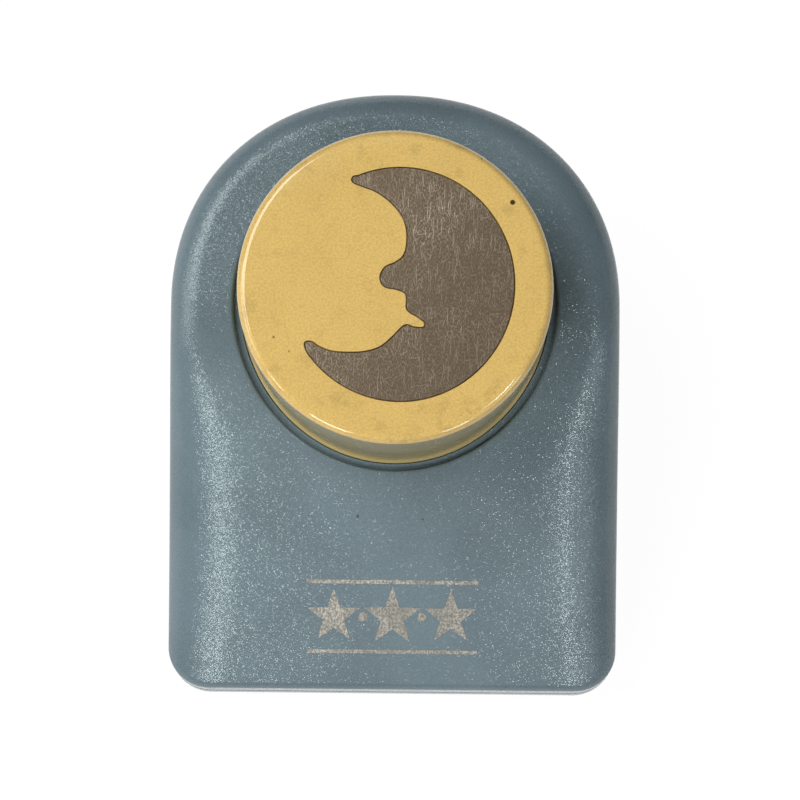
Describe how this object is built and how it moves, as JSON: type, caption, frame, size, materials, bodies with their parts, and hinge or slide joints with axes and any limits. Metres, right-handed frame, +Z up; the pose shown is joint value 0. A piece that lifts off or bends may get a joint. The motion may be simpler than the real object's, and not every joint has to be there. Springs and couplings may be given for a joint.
{
  "type": "paper punch",
  "caption": "Press-down craft punch that cuts a crescent moon with a face: round sprung button in a sloped two-part housing over a steel die stack.",
  "frame": {"origin": "middle of the bounding box, on the surface that the punch stands on", "axes": "+Z up, -Y towards the straight front edge where the paper goes in, +X to the right seen from above with the front edge below"},
  "size_m": [0.0558, 0.0717, 0.0475],
  "materials": {
    "blue_plastic": "fine-grained grey-blue moulded plastic",
    "cream_plastic": "glossy cream-yellow moulded plastic",
    "brown_foil": "scratched brown-grey metallic foil",
    "die_steel": "stamped and ground",
    "punch_steel": "ground",
    "spring_steel": "drawn wire",
    "zinc_steel": "zinc plated"
  },
  "bodies": {
    "frame": {"base_tray": "blue_plastic", "housing_shell": "blue_plastic", "die_plate": "die_steel", "guide_plate": "die_steel", "slot_spacer": "zinc_steel", "spring_seat": "zinc_steel", "return_spring": "spring_steel", "die_rivet_1": "zinc_steel", "die_rivet_2": "zinc_steel", "die_rivet_3": "zinc_steel", "guide_screw_left": "zinc_steel", "guide_screw_right": "zinc_steel", "rear_screw_left": "zinc_steel", "rear_screw_right": "zinc_steel", "tray_screw_left": "zinc_steel", "tray_screw_right": "zinc_steel"},
    "plunger": {"push_button": "cream_plastic", "moon_emblem": "brown_foil", "punch_holder": "zinc_steel", "moon_punch": "punch_steel", "punch_screw_1": "zinc_steel", "punch_screw_2": "zinc_steel"}
  },
  "joints": [
    {"name": "button_press", "type": "slide", "parent": "frame", "child": "plunger", "axis": [0, 0, -1], "range_m": [0, 0.0065], "stiffness_N_per_m": 240, "springref_m": -0.0158, "deforming": ["return_spring"]}
  ]
}
